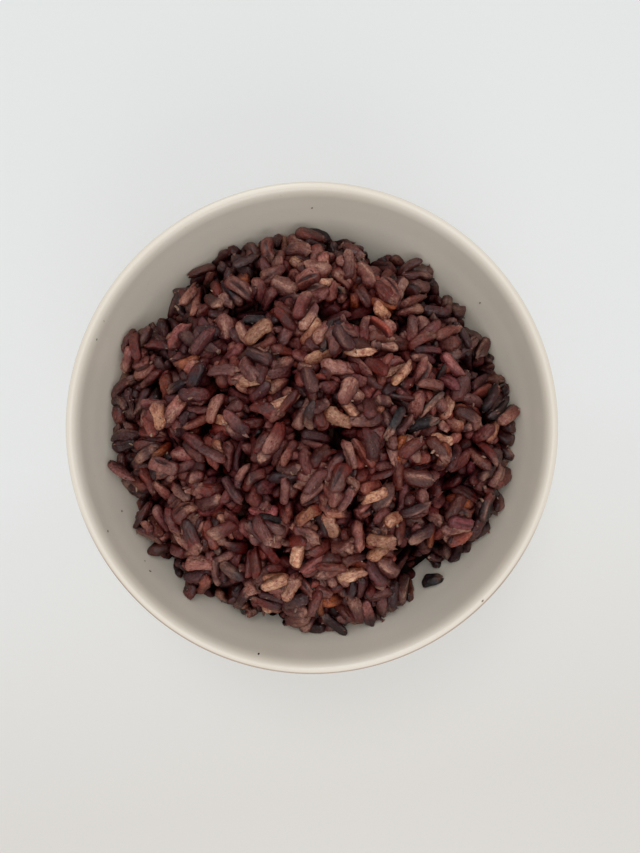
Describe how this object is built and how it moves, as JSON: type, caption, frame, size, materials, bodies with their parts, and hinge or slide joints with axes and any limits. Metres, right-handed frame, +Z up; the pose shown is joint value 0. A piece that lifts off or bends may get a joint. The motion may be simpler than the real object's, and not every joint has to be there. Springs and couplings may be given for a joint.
{
  "type": "bowl of rice blend",
  "caption": "Round glazed bowl on a foot ring, filled to above the rim with a loose mound of cooked black, red and brown rice grains.",
  "frame": {"origin": "middle of the foot ring, on the surface that the bowl stands on", "axes": "+Z up along the bowl's axis; +X and +Y are right and up in the view from straight above"},
  "size_m": [0.13, 0.13, 0.0633],
  "materials": {
    "glaze": "glossy off-white glaze with faint throwing rings",
    "rice": "moist cooked grains, purple-brown, with some tan, red and black ones"
  },
  "bodies": {
    "root": {"bowl": "glaze", "rice": "rice"}
  },
  "joints": []
}
